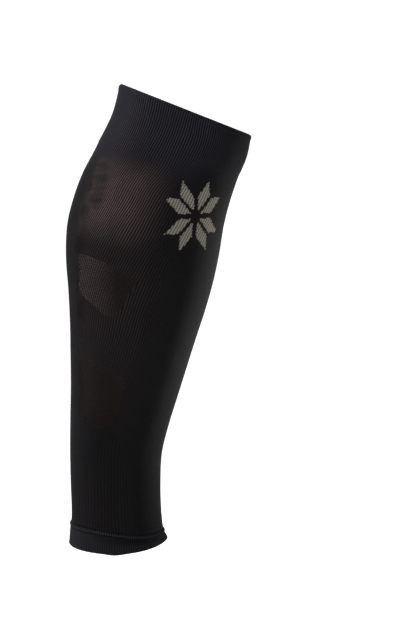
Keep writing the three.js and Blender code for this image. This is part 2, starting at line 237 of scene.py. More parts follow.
# A closed ring of cloth from rows of a profile that runs up the outer face and down the inner one.
# Its UV map counts wales across and courses up. Attributes hold what the ribs and the colours need.
def clothRing(name, profile, waleCount, perWale, zone):
    columns = waleCount * perWale
    places, outward, waleAt = [], [], []
    marks = {label: [] for label in knitMarks}
    for row in profile:
        rise = row["rise"]
        turns = np.arange(columns) / columns
        if row.get("twisted"):
            turns = waleTurns(turns, rise)
        out = row["out"] + row.get("relief", lambda t: 0)(turns)
        drop = row.get("drop", lambda t: 0)(turns)
        place, normal = legPoints(rise, turns, out, drop)
        places.append(place)
        outward.append(normal)
        zoned = {"known": 1, **zone(np.mod(turns, 1), rise, row)}
        for label, values in marks.items():
            values.append(np.broadcast_to(zoned.get(label, 0), columns))
        waleAt.append(np.arange(columns) / perWale)
    count = len(profile)
    mesh = bpy.data.meshes.new(name)
    mesh.vertices.add(count * columns)
    mesh.vertices.foreach_set("co", np.concatenate(places).astype(np.float32).ravel())
    rowIndex, columnIndex = np.meshgrid(np.arange(count), np.arange(columns), indexing="ij")
    nextRow, nextColumn = (rowIndex + 1) % count, (columnIndex + 1) % columns
    corners = np.stack([
        rowIndex * columns + columnIndex, rowIndex * columns + nextColumn,
        nextRow * columns + nextColumn, nextRow * columns + columnIndex,
    ], axis=-1).reshape(-1, 4)
    mesh.loops.add(corners.size)
    mesh.loops.foreach_set("vertex_index", corners.ravel().astype(np.int32))
    mesh.polygons.add(len(corners))
    mesh.polygons.foreach_set("loop_start", np.arange(0, corners.size, 4, dtype=np.int32))
    mesh.update(calc_edges=True)
    courses = np.array([courseOf(row["rise"]) for row in profile], float)
    across = np.stack([columnIndex, columnIndex + 1, columnIndex + 1, columnIndex], axis=-1) / perWale
    nextCourse = np.where(nextRow == 0, courses[-1], courses[nextRow])
    up = np.stack([courses[rowIndex], courses[rowIndex], nextCourse, nextCourse], axis=-1)
    knitMap = mesh.uv_layers.new(name="knit")
    knitMap.data.foreach_set("uv", np.stack([across, up], axis=-1).astype(np.float32).ravel())
    for label, values in (*marks.items(), ("wale", waleAt)):
        layer = mesh.attributes.new(label, "FLOAT", "POINT")
        layer.data.foreach_set("value", np.concatenate(values).astype(np.float32))
    layer = mesh.attributes.new("outward", "FLOAT_VECTOR", "POINT")
    layer.data.foreach_set("vector", np.concatenate(outward).astype(np.float32).ravel())
    mesh.polygons.foreach_set("use_smooth", np.ones(len(corners), dtype=bool))
    return addObject(name, mesh)


# Adds a math node. Each value is a number or a socket.
def mathNode(tree, operation, first, second=None, third=None):
    node = tree.nodes.new("ShaderNodeMath")
    node.operation = operation
    for index, value in enumerate((first, second, third)):
        if value is None:
            continue
        if isinstance(value, (int, float)):
            node.inputs[index].default_value = value
        else:
            tree.links.new(value, node.inputs[index])
    return node.outputs[0]


# Runs a node tree on a piece, with inputs by name, and keeps the mesh that it makes
def applyNodes(piece, tree, inputs):
    modifier = piece.modifiers.new(tree.name, "NODES")
    modifier.node_group = tree
    for item in tree.interface.items_tree:
        if item.item_type == "SOCKET" and item.in_out == "INPUT" and item.name in inputs:
            modifier[item.identifier] = inputs[item.name]
    bakeModifiers(piece)


# Replaces a piece's mesh by what its modifiers make of it
def bakeModifiers(piece):
    bpy.context.view_layer.update()
    ready = piece.evaluated_get(bpy.context.evaluated_depsgraph_get())
    made = bpy.data.meshes.new_from_object(ready, preserve_all_data_layers=True,
                                           depsgraph=bpy.context.evaluated_depsgraph_get())
    piece.modifiers.clear()
    old = piece.data
    piece.data = made
    made.name = piece.name
    bpy.data.meshes.remove(old)
    made.set_sharp_from_angle(angle=math.radians(cloth["sharpAngle"]))


# Begins a geometry tree. Each named input gives its kind, its value and its lowest value.
def beginTree(name, inputs):
    tree = bpy.data.node_groups.new(name, "GeometryNodeTree")
    tree.interface.new_socket(name="Geometry", in_out="INPUT", socket_type="NodeSocketGeometry")
    for label, (kind, value, low) in inputs.items():
        socket = tree.interface.new_socket(name=label, in_out="INPUT", socket_type=kind)
        socket.default_value, socket.min_value = value, low
    tree.interface.new_socket(name="Material", in_out="INPUT", socket_type="NodeSocketMaterial")
    tree.interface.new_socket(name="Geometry", in_out="OUTPUT", socket_type="NodeSocketGeometry")
    return tree, tree.nodes.new("NodeGroupInput")


# Ends it: what is repeated becomes real and gets the material
def endTree(tree, start, geometry):
    real = tree.nodes.new("GeometryNodeRealizeInstances")
    paint = tree.nodes.new("GeometryNodeSetMaterial")
    end = tree.nodes.new("NodeGroupOutput")
    tree.links.new(geometry, real.inputs["Geometry"])
    tree.links.new(real.outputs["Geometry"], paint.inputs["Geometry"])
    tree.links.new(start.outputs["Material"], paint.inputs["Material"])
    tree.links.new(paint.outputs["Geometry"], end.inputs[0])
    return tree


# Ribs: each wale is a rounded cord, and the surface sinks between two of them
def ribTree():
    tree, start = beginTree("waleRibs", {"Rib Relief": ("NodeSocketFloat", 0.0004, 0),
                                         "Roundness": ("NodeSocketFloat", 0.7, 0.1)})
    wale, mask, outward = [tree.nodes.new("GeometryNodeInputNamedAttribute") for _ in range(3)]
    for node, label in ((wale, "wale"), (mask, "ribs")):
        node.data_type = "FLOAT"
        node.inputs["Name"].default_value = label
    outward.data_type = "FLOAT_VECTOR"
    outward.inputs["Name"].default_value = "outward"
    phase = mathNode(tree, "MULTIPLY", wale.outputs["Attribute"], 2 * math.pi)
    wave = mathNode(tree, "COSINE", phase)
    dip = mathNode(tree, "MULTIPLY_ADD", wave, 0.5, 0.5)  # 1 between two wales and 0 on a crest
    dip = mathNode(tree, "POWER", dip, start.outputs["Roundness"])
    depth = mathNode(tree, "MULTIPLY", dip, start.outputs["Rib Relief"])
    depth = mathNode(tree, "MULTIPLY", depth, mask.outputs["Attribute"])
    shift = tree.nodes.new("ShaderNodeVectorMath")
    shift.operation = "SCALE"
    tree.links.new(outward.outputs["Attribute"], shift.inputs[0])
    tree.links.new(mathNode(tree, "MULTIPLY", depth, -1.0), shift.inputs["Scale"])
    move = tree.nodes.new("GeometryNodeSetPosition")
    tree.links.new(start.outputs["Geometry"], move.inputs["Geometry"])
    tree.links.new(shift.outputs["Vector"], move.inputs["Offset"])
    return endTree(tree, start, move.outputs["Geometry"])


# Strands: turns the edges of a mesh into round strands
def strandTree():
    tree, start = beginTree("netStrands", {"Strand Radius": ("NodeSocketFloat", 0.0003, 0),
                                           "Strand Sides": ("NodeSocketInt", 6, 3)})
    lines = tree.nodes.new("GeometryNodeMeshToCurve")
    circle = tree.nodes.new("GeometryNodeCurvePrimitiveCircle")
    sweep = tree.nodes.new("GeometryNodeCurveToMesh")
    soft = tree.nodes.new("GeometryNodeSetShadeSmooth")
    tree.links.new(start.outputs["Geometry"], lines.inputs["Mesh"])
    tree.links.new(start.outputs["Strand Radius"], circle.inputs["Radius"])
    tree.links.new(start.outputs["Strand Sides"], circle.inputs["Resolution"])
    tree.links.new(lines.outputs["Curve"], sweep.inputs["Curve"])
    tree.links.new(circle.outputs["Curve"], sweep.inputs["Profile Curve"])
    sweep.inputs["Fill Caps"].default_value = True
    tree.links.new(sweep.outputs["Mesh"], soft.inputs["Geometry"])
    return endTree(tree, start, soft.outputs["Geometry"])


# Knit material. Colours are linear. U of the knit map counts wales and V counts courses.
def knitMaterial(name, look):
    material = bpy.data.materials.new(name)
    material.use_nodes = True
    tree = material.node_tree
    shader = tree.nodes["Principled BSDF"]
    shader.inputs["Roughness"].default_value = look["roughness"]
    shader.inputs["Specular IOR Level"].default_value = look["specular"]
    shader.inputs["Sheen Weight"].default_value = look["sheen"]
    shader.inputs["Sheen Roughness"].default_value = look["sheenRoughness"]
    shader.inputs["Sheen Tint"].default_value = (*look["sheenTint"], 1)
    knitMap = tree.nodes.new("ShaderNodeUVMap")
    knitMap.uv_map = "knit"
    split = tree.nodes.new("ShaderNodeSeparateXYZ")
    tree.links.new(knitMap.outputs["UV"], split.inputs[0])
    across, up = split.outputs["X"], split.outputs["Y"]

    # Dips between two wales. Where the knit is paired each second dip is shallow, and where it is calm all
    # of them are.
    sheer, dense, pair, ribbed = [attributeNode(tree, label) for label in ("sheer", "dense", "pair", "ribs")]
    wave = mathNode(tree, "COSINE", mathNode(tree, "MULTIPLY", across, 2 * math.pi))
    dip = mathNode(tree, "MULTIPLY_ADD", wave, 0.5, 0.5)
    dip = mathNode(tree, "POWER", dip, look["dipSharpness"])
    second = mathNode(tree, "COSINE", mathNode(tree, "MULTIPLY", across, math.pi))
    second = mathNode(tree, "MULTIPLY_ADD", second, -0.5, 0.5)
    kept = mathNode(tree, "SUBTRACT", 1.0, mathNode(tree, "MULTIPLY", pair, second))
    dip = mathNode(tree, "MULTIPLY", dip, kept)
    full = dip
    beyond = mathNode(tree, "SUBTRACT", dip, look["calmDip"])
    dip = mathNode(tree, "MULTIPLY_ADD", beyond, ribbed, look["calmDip"])

    # Stitches: two slanted legs in each wale, one above the other
    inWale = mathNode(tree, "FRACT", across)
    fromMiddle = mathNode(tree, "ABSOLUTE", mathNode(tree, "SUBTRACT", inWale, 0.5))
    slanted = mathNode(tree, "MULTIPLY_ADD", fromMiddle, look["slant"], up)
    loops = mathNode(tree, "COSINE", mathNode(tree, "MULTIPLY", slanted, 2 * math.pi))
    loops = mathNode(tree, "MULTIPLY_ADD", loops, 0.5, 0.5)
    legs = mathNode(tree, "SINE", mathNode(tree, "MULTIPLY", fromMiddle, 2 * math.pi))
    legs = mathNode(tree, "ABSOLUTE", legs)
    stitch = mathNode(tree, "MULTIPLY", loops, legs)

    # Yarn and wear: fine specks, and slow changes over the sleeve
    place = tree.nodes.new("ShaderNodeTexCoord")
    noises = []
    for label in ("speck", "patch"):
        noise = tree.nodes.new("ShaderNodeTexNoise")
        noise.inputs["Scale"].default_value = look[label + "Scale"]
        noise.inputs["Detail"].default_value = look[label + "Detail"]
        tree.links.new(place.outputs["Object"], noise.inputs["Vector"])
        noises.append(noise.outputs["Fac"])
    specks, patches = noises
    tone = mathNode(tree, "MULTIPLY_ADD", specks, look["speckTone"], 1 - look["speckTone"] / 2)
    for value, share in ((patches, look["patchTone"]), (stitch, look["stitchTone"])):
        tone = mathNode(tree, "MULTIPLY", tone, mathNode(tree, "MULTIPLY_ADD", value, share, 1 - share / 2))
    tone = mathNode(tree, "MULTIPLY", tone, mathNode(tree, "MULTIPLY_ADD", pair, -look["pairTone"], 1.0))

    # Colour on the crests and between them: plain, sheer or dense knit, the dips darker partly as painted
    # shade
    low = colourMix(tree, sheer, look["between"], look["sheerBetween"])
    low = colourMix(tree, dense, low, look["denseBetween"])
    high = colourMix(tree, sheer, look["crest"], look["sheerCrest"])
    high = colourMix(tree, dense, high, look["denseCrest"])
    colour = colourMix(tree, dip, high, low)
    if "emblem" in look:
        # The emblem's dips are darker than its crests, partly as painted shade
        figure = colourMix(tree, full, look["emblem"]["crest"], look["emblem"]["between"])
        colour = colourMix(tree, emblemMask(tree, across, up, look["emblem"]), colour, figure)
    toned = tree.nodes.new("ShaderNodeVectorMath")
    toned.operation = "SCALE"
    tree.links.new(colour, toned.inputs[0])
    tree.links.new(tone, toned.inputs["Scale"])
    tree.links.new(toned.outputs["Vector"], shader.inputs["Base Color"])

    bump = tree.nodes.new("ShaderNodeBump")
    bump.inputs["Strength"].default_value = look["bump"]
    bump.inputs["Distance"].default_value = look["bumpDepth"] * mm
    height = mathNode(tree, "MULTIPLY_ADD", specks, look["speckBump"], stitch)
    tree.links.new(height, bump.inputs["Height"])
    tree.links.new(bump.outputs["Normal"], shader.inputs["Normal"])
    return material


# Reads one of the marks in a material
def attributeNode(tree, label):
    node = tree.nodes.new("ShaderNodeAttribute")
    node.attribute_name = label
    return node.outputs["Fac"]


# Mix of two colours, each a socket or a linear colour. The node's colours are inputs 6 and 7 and output 2.
def colourMix(tree, share, first, second):
    node = tree.nodes.new("ShaderNodeMix")
    node.data_type = "RGBA"
    for socket, value in ((node.inputs[6], first), (node.inputs[7], second)):
        if isinstance(value, tuple):
            socket.default_value = (*value, 1)
        else:
            tree.links.new(value, socket)
    tree.links.new(share, node.inputs[0])
    return node.outputs[2]


# A knitted star of eight petals, the traditional one, upright on the leg. Its edges step by whole courses
# and half wales.
def emblemMask(tree, across, up, emblem):
    half = mathNode(tree, "FLOOR", mathNode(tree, "MULTIPLY", across, 2))
    wale = mathNode(tree, "SUBTRACT", mathNode(tree, "MULTIPLY_ADD", half, 0.5, 0.25), emblem["wale"])
    course = mathNode(tree, "ADD", mathNode(tree, "FLOOR", up), 0.5)
    course = mathNode(tree, "SUBTRACT", course, emblem["course"])
    ways = []
    for perWale, perCourse in waleSteps(emblem):
        way = mathNode(tree, "MULTIPLY", wale, perWale / emblem["half"])
        way = mathNode(tree, "MULTIPLY_ADD", course, perCourse / emblem["half"], way)
        ways.append(mathNode(tree, "ABSOLUTE", way))
    far = mathNode(tree, "MAXIMUM", *ways)
    near = mathNode(tree, "MINIMUM", *ways)
    mask = None
    for way in (near, mathNode(tree, "SUBTRACT", far, near)):
        above = mathNode(tree, "GREATER_THAN", way, emblem["gap"] / 2)
        below = mathNode(tree, "LESS_THAN", way, 0.5 - emblem["gap"] / 4)
        both = mathNode(tree, "MULTIPLY", above, below)
        mask = both if mask is None else mathNode(tree, "MULTIPLY", mask, both)
    return mask


# How far one wale and one course reach along the tube's surface at the emblem, level and upright, in mm
def waleSteps(emblem):
    def place(wale, course):
        rise = course * wales["courseHeight"] + level["tubeFoot"]
        spot, normal = legPoints(rise, waleTurns(np.array([wale / wales["count"]]), rise), cloth["tubeWall"])
        return spot[0] / mm, normal[0]
    middle, outward = place(emblem["wale"], emblem["course"])
    perWale = place(emblem["wale"] + 1, emblem["course"])[0] - middle
    perCourse = place(emblem["wale"], emblem["course"] + 1)[0] - middle
    sideways = np.cross((0, 0, 1), outward)
    sideways /= np.linalg.norm(sideways)
    upright = np.cross(outward, sideways)
    return [(float(perWale @ way), float(perCourse @ way)) for way in (sideways, upright)]


# A screen colour of 0 to 255 as the linear one that materials take
def linear(red, green, blue):
    return tuple((value / 255 / 12.92) if value <= 10 else ((value / 255 + 0.055) / 1.055) ** 2.4
                 for value in (red, green, blue))


# Each kind of knit has a colour on its crests and one between them: partly the knit's own tones, partly
# painted light and shade of the ribs, with lighter crests and darker dips. The tones say how strongly specks,
# patches, stitches and pairs darken it.
looks = {
    "roughness": 0.75, "specular": 0.02, "sheen": 0.006, "sheenRoughness": 0.45,
    "sheenTint": (0.85, 0.88, 1.0), "dipSharpness": 0.8, "calmDip": 0.72, "slant": 1.2,
    "speckScale": 1400, "speckDetail": 2, "speckTone": 0.5, "speckBump": 0.35,
    "patchScale": 18, "patchDetail": 3, "patchTone": 0.3, "stitchTone": 0.5, "pairTone": 0.16,
    "bump": 0.8, "bumpDepth": 0.25,
    "crest": linear(36, 34, 36), "between": linear(13, 12, 13),
    "sheerCrest": linear(94, 81, 80), "sheerBetween": linear(7, 5, 6),
    "denseCrest": linear(54, 52, 59), "denseBetween": linear(3, 3, 4),
}
emblem = {
    "wale": 43.8, "course": courseOf(25), "half": 29, "gap": 0.14,
    "crest": linear(146, 141, 131), "between": linear(84, 80, 73),
}
sleeveKnit = knitMaterial("sleeveKnit", {**looks, "emblem": emblem})
netGround = knitMaterial("netGround", {
    **looks, "crest": linear(33, 28, 27), "between": linear(33, 28, 27),
    "sheerCrest": linear(79, 70, 68), "sheerBetween": linear(79, 70, 68), "speckTone": 0.8, "stitchTone": 0.6,
})
netYarn = knitMaterial("netYarn", {**looks, "crest": linear(21, 18, 19), "between": linear(21, 18, 19)})
print("materials ready")

ribs, strands = ribTree(), strandTree()


# Gives a piece its ribs and its knit
def ribCloth(piece, size):
    applyNodes(piece, ribs, {"Rib Relief": size["relief"] * mm, "Roundness": size["roundness"],
                             "Material": sleeveKnit})


# Hem: a doubled band under a raised welt. Its edge droops at the front of the outer side, with a blunt point.
# Its top sags over a crease there, and tilts to the shin. Each At pair is a middle and a width, as shares of
# a turn from the back.
hemSize = {
    "droop": 5.9, "droopMiddle": 0.31, "droopPower": 3, "lift": 0.8, "point": 0.9, "pointAt": (0.25, 0.03),
    "sag": 2.25, "sagAt": (0.355, 0.1), "tilt": 1.8,
    "crease": 1.9, "creaseAt": (0.32, 0.08), "creaseInside": 0.8,
    "edge": 0.6, "edgeShares": (0.0, 0.3, 0.6, 0.85), "lip": 0.3, "rows": 12, "innerRows": 4,
    "foldRise": 0.25, "foldOut": 0.2, "relief": 0.26, "roundness": 0.8, "ribShare": 0.6,
    # The band is darkened at the crease under the welt, and its ribs calmed there, as painted shade
    "dense": 0.45, "paintedShadeAt": (0.285, 0.09), "paintedShadeCalm": 0.8,
}

# How strongly each of those works from the foot of the band, 0, to its top, 1
hemShares = {
    "droop": ([0, 0.06, 0.45, 0.8, 1], [1, 1, 0.5, 0.1, 0]),
    "sag": ([0, 0.45, 0.8, 1], [0, 0, 0.8, 1]),
    "crease": ([0, 0.45, 0.8, 1], [0, 0, 1, 0.4]),
    "dark": ([0, 0.5, 0.75, 1], [0, 0, 1, 1]),
}


# How much lower a row hangs, from its shares of the droop, of the sag and of the tilt
def dropBy(droop, sag, tilt):
    def drop(turns):
        swell = (0.5 + 0.5 * np.cos(2 * math.pi * (turns - hemSize["droopMiddle"]))) ** hemSize["droopPower"]
        edge = hemSize["droop"] * swell - hemSize["lift"] + hemSize["point"] * swellAt(turns, "pointAt")
        hang = droop * edge + sag * hemSize["sag"] * swellAt(turns, "sagAt")
        return hang - tilt * hemSize["tilt"] * np.cos(2 * math.pi * turns)
    return drop


# A soft swell round the leg, 1 at its middle
def swellAt(turns, label):
    middle, spread = hemSize[label]
    return np.exp(-((turns - middle) / spread) ** 2)


# How far a row is pressed in at the crease
def creaseBy(share):
    return lambda turns: -hemSize["crease"] * share * swellAt(turns, "creaseAt")


# Where the knit is ribbed, sheer, dense or paired. Each pair holds where a change begins and ends: heights,
# or places round the leg with 0 at the back and 0.5 at the shin.
zones = {
    "strip": (0.088, 0.1), "stripCuff": (0.08, 0.13), "stripShare": 0.7,
    "shin": (0.29, 0.355), "shinCuff": (0.31, 0.41), "shinShare": 0.85,
    "sheerTop": (46, 76), "sheerFoot": (-18, 22), "sheerFade": (0.2, 0.31), "sheerStrip": (0.08, 0.14),
    "tint": 0.12, "tintFoot": (-140, -60), "calm": (-130, -50), "calmShare": 0.62, "hemRibs": (-215, -160),
    "hemShare": 0.2, "weak": (36, 52), "weakEnd": (58, 72), "weakShare": 0.35,
    "dense": (40, 66), "paintedShinShade": 0.7, "cuff": (50, 70), "pair": (-160, -120),
    "uneven": 0.2, "unevenSpans": (47, 29),
}


mottleSlant = 0.6


# Slow changes over the knit, as stretched cloth has them: from -1 to 1 at places on the leg
def mottleAt(turns, rise, first, second):
    around = turns * math.pi * leg["calfDepth"]
    rising = np.sin(2 * math.pi * (around + rise) / first)
    return rising * np.sin(2 * math.pi * (around - mottleSlant * rise) / second)


# The marks of the tube and the cuff at places round the leg
def knitZone(turns, rise, row):
    away = 0.5 - np.abs(turns - 0.5)

    def passed(label, value=rise):
        return smooth(*zones[label], value)

    cuff = passed("cuff")
    strip = 1 - mix(passed("strip", away), passed("stripCuff", away), cuff)
    shin = mix(passed("shin", away), passed("shinCuff", away), cuff)
    tint = np.maximum(passed("sheerFoot"), zones["tint"] * passed("tintFoot"))
    side = passed("sheerStrip", away) * (1 - passed("sheerFade", away))
    sheer = tint * (1 - passed("sheerTop")) * side
    calm = 1 - zones["calmShare"] * (1 - passed("calm")) + zones["hemShare"] * (1 - passed("hemRibs"))
    weak = 1 - zones["weakShare"] * passed("weak") * (1 - passed("weakEnd"))
    ribbed = (1 - zones["stripShare"] * strip) * (1 - zones["shinShare"] * shin) * calm * weak
    ribbed = ribbed * (1 + zones["uneven"] * mottleAt(turns, rise, *zones["unevenSpans"]))
    # At the shin the dense knit gives way to the darker plain colours: painted shade
    dense = passed("dense") * (1 - zones["paintedShinShade"] * shin)
    return {"ribs": 0 if row.get("inside") else ribbed, "sheer": sheer, "dense": dense,
            "pair": 1 - passed("pair")}


tubeSize = {"rows": 118, "innerRows": 10, "relief": 0.5, "roundness": 0.75, "edge": 0.35, "sagHeight": 14}


# Rows of the tube, up its outer face and down its inner one. Its foot follows the hem.
def tubeProfile():
    rows = []
    edge, wall = tubeSize["edge"], cloth["tubeWall"]
    foot, top = level["tubeFoot"], level["tubeTop"]
    rows.append({"rise": foot, "out": wall - edge, "twisted": True})
    for rise in np.linspace(foot + edge, top, tubeSize["rows"]):
        rows.append({"rise": float(rise), "out": wall, "twisted": True})
    for rise in np.linspace(top, foot, tubeSize["innerRows"]):
        rows.append({"rise": float(rise), "out": 0, "twisted": True, "inside": True})
    for row in rows:
        near = 1 - float(smooth(foot, foot + tubeSize["sagHeight"], row["rise"]))
        row["drop"] = dropBy(0, near, near)
    return rows


tube = clothRing("tube_knit", tubeProfile(), wales["count"], wales["perWale"], knitZone)
ribCloth(tube, tubeSize)
print("tube knitted", len(tube.data.polygons))


# Sheer windows, the same on both sides. at and height are shares of riseToCalf, or of riseToMouth above the
# calf. behind and width are shares of the depth of the leg there. The outline gives shares of half the size.
# glow is how sheer the cloth is, less so at the bands, and it grows to that over blend millimetres from the
# border. Strands and bars give their radius, and a window without them has the ribs of the tube.
windows = {
    "upper": {
        "at": 0.439, "behind": 0.398, "width": 0.193, "height": 0.451, "bands": [0.6, 0.15, -0.56],
        "glow": 0.8, "strand": 0, "bar": 0, "out": 1.2, "blend": 6, "ribs": 0.35, "mottle": 0.6,
        "outline": [(0.1, 1), (0.63, 0.91), (1, 0.61), (0.94, 0.11), (0.73, -0.32), (0.46, -0.73), (0.03, -1),
                    (-0.54, -0.97), (-1, -0.7), (-0.95, -0.45), (-0.64, -0.14), (-0.52, 0.36), (-0.33, 0.76)],
    },
    "middle": {
        "at": -0.141, "behind": 0.194, "width": 0.406, "height": 0.192, "bands": [],
        "glow": 0.66, "strand": 0.3, "bar": 0.1, "out": 1.02, "blend": 1, "ribs": 0, "mottle": 0.15,
        "outline": [(-1, 1), (-0.63, 0.94), (-0.28, 0.82), (0.06, 0.68), (0.4, 0.48), (1, 0.16),
                    (0.87, -0.07), (0.68, -0.31), (0.59, -0.58), (0.15, -1), (-0.12, -1), (-0.57, -0.64),
                    (-0.99, -0.23), (-1, 0.48)],
    },
    "lower": {
        "at": -0.494, "behind": 0.201, "width": 0.419, "height": 0.218, "bands": [],
        "glow": 0.1, "strand": 0.18, "bar": 0.16, "out": 1.02, "blend": 5, "ribs": 0, "mottle": 0.15,
        "outline": [(-1, 1), (-0.59, 1), (-0.18, 0.96), (0.14, 0.84), (0.85, 0.52), (1, 0.28), (0.97, -0.03),
                    (0.66, -0.6), (0.52, -0.84), (0.16, -1), (-0.2, -1), (-0.56, -0.9), (-0.98, -0.63),
                    (-1, 0.21)],
    },
}
windowSize = {"perSpan": 7, "margin": 6, "ribbedStep": 1.0, "netStep": 2.0}


# A smooth closed curve through points
def closedCurve(points, perSpan):
    points = np.array(points, float)
    made = []
    for index in range(len(points)):
        before, low, high, after = [points[(index + step) % len(points)] for step in (-1, 0, 1, 2)]
        times = [0]
        for first, second in ((before, low), (low, high), (high, after)):
            times.append(times[-1] + math.sqrt(np.linalg.norm(second - first)))
        for share in np.arange(perSpan) / perSpan:
            time = times[1] + (times[2] - times[1]) * share
            chain = [before, low, high, after]
            for reach in (1, 2):
                chain = [
                    (chain[place] * (times[place + reach] - time) + chain[place + 1] * (time - times[place]))
                    / (times[place + reach] - times[place]) for place in range(len(chain) - 1)
                ]
            made.append((chain[0] * (times[2] - time) + chain[1] * (time - times[1])) / (times[2] - times[1]))
    return np.array(made)


# What a window's heights are shares of
def reachOf(window):
    return leg["riseToMouth"] if window["at"] > 0 else leg["riseToCalf"]


# The outline of a window from the side, as (y, z) in millimetres
def windowOutline(window):
    reach = reachOf(window)
    rise = window["at"] * reach
    depth = readRows(rise, "depth")
    aft = readRows(rise, "aft") + window["behind"] * depth
    points = [(aft - fore * window["width"] * depth / 2, rise + up * window["height"] * reach / 2)
              for fore, up in window["outline"]]
    return closedCurve(points, windowSize["perSpan"])


# A block with a window's outline that reaches out through one side of the leg
def windowBlock(outline, side):
    count = len(outline)
    mesh = bpy.data.meshes.new("windowBlock")
    inner = [(0, y * mm, z * mm) for y, z in outline]
    outer = [(side * leg["calfWidth"] * mm, y * mm, z * mm) for y, z in outline]
    walls = [(spot, (spot + 1) % count, count + (spot + 1) % count, count + spot) for spot in range(count)]
    caps = [tuple(range(count - 1, -1, -1)), tuple(range(count, 2 * count))]
    mesh.from_pydata(inner + outer, [], walls + caps)
    shape = bmesh.new()
    shape.from_mesh(mesh)
    bmesh.ops.recalc_face_normals(shape, faces=shape.faces)
    shape.to_mesh(mesh)
    shape.free()
    return addObject("windowBlock", mesh)


# Points that a cut makes have no marks yet. Each takes the strongest marks of its neighbours.
def fillMarks(mesh):
    ends = np.empty(len(mesh.edges) * 2, np.int32)
    mesh.edges.foreach_get("vertices", ends)
    first, second = ends.reshape(-1, 2).T
    marks = {}
    for label in knitMarks:
        marks[label] = np.empty(len(mesh.vertices), np.float32)
        mesh.attributes[label].data.foreach_get("value", marks[label])
    for _ in range(cloth["fillPasses"]):
        bare = marks["known"] < 0.5
        for values in marks.values():
            for near, far in ((first, second), (second, first)):
                taken = bare[near] & ~bare[far]
                np.maximum.at(values, near[taken], values[far[taken]])
    for label, values in marks.items():
        mesh.attributes[label].data.foreach_set("value", values)


# Cuts a piece with a block, or keeps only what is inside it
def cutWith(piece, block, operation):
    modifier = piece.modifiers.new("cut", "BOOLEAN")
    modifier.operation, modifier.object, modifier.solver = operation, block, "MANIFOLD"
    bakeModifiers(piece)
    blockMesh = block.data
    bpy.data.objects.remove(block)
    bpy.data.meshes.remove(blockMesh)
    fillMarks(piece.data)


for window in windows.values():
    for side in (-1, 1):
        cutWith(tube, windowBlock(windowOutline(window), side), "DIFFERENCE")
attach(tube, "root")
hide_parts("calf_tube")
print("windows cut", len(tube.data.polygons))


# Whether a place is inside an outline: a line from it crosses the outline an odd number of times
def isInside(outline, y, z):
    other = np.roll(outline, -1, axis=0)
    crossed = (outline[:, 1] > z) != (other[:, 1] > z)
    with np.errstate(divide="ignore", invalid="ignore"):
        share = (z - outline[:, 1]) / (other[:, 1] - outline[:, 1])
        at = outline[:, 0] + share * (other[:, 0] - outline[:, 0])
    return bool(np.count_nonzero(crossed & (y < at)) % 2)


# The net of a window: a fine ground, strands along the wales and short bars between them. It gets less sheer
# where the fade begins and ends, as shares of a turn from the back.
net = {
    "groundIn": 0.3, "perWale": 2, "strandOut": 1.06, "step": 0.975, "barOut": 1.04, "barSides": 5,
    "stepsToBar": 2, "bandHalf": 1.8, "bandTone": 0.55, "mottles": (9.0, 6.5), "fade": (0.145, 0.225),
    "fadeShare": 0.95,
}


# A mesh of bare edges along lines of points
def linesObject(name, lines):
    places, edges = [], []
    for line in lines:
        edges += [(len(places) + spot, len(places) + spot + 1) for spot in range(len(line) - 1)]
        places += line
    mesh = bpy.data.meshes.new(name)
    mesh.from_pydata(places, edges, [])
    return addObject(name, mesh)


# Wale lines of the tube inside an outline, as lists of (rise, turn, step)
def walesInside(outline, side, low, high):
    found, walked = [], {}
    for step, rise in enumerate(np.arange(low, high, net["step"])):
        turns = waleTurns((np.arange(wales["count"]) + 0.5) / wales["count"], rise)
        place, _ = legPoints(rise, turns, net["strandOut"])
        for wale in range(wales["count"]):
            x, y, z = place[wale] / mm
            within = x * side > 0 and isInside(outline, y, z)
            walked.setdefault(wale, []).append((rise, turns[wale], step, within))
    for spots in walked.values():
        line = []
        for *spot, within in spots + [(0, 0, 0, False)]:
            if within:
                line.append(spot)
            elif line:
                if len(line) > 1:
                    found.append(line)
                line = []
    return found


# One point of the leg
def pointOn(rise, turn, out):
    place, _ = legPoints(rise, np.array([turn]), out)
    return tuple(place[0])


# How far points are from an outline
def fromEdge(outline, points):
    away = points[:, None] - outline[None]
    return np.sqrt((away ** 2).sum(axis=2)).min(axis=1)


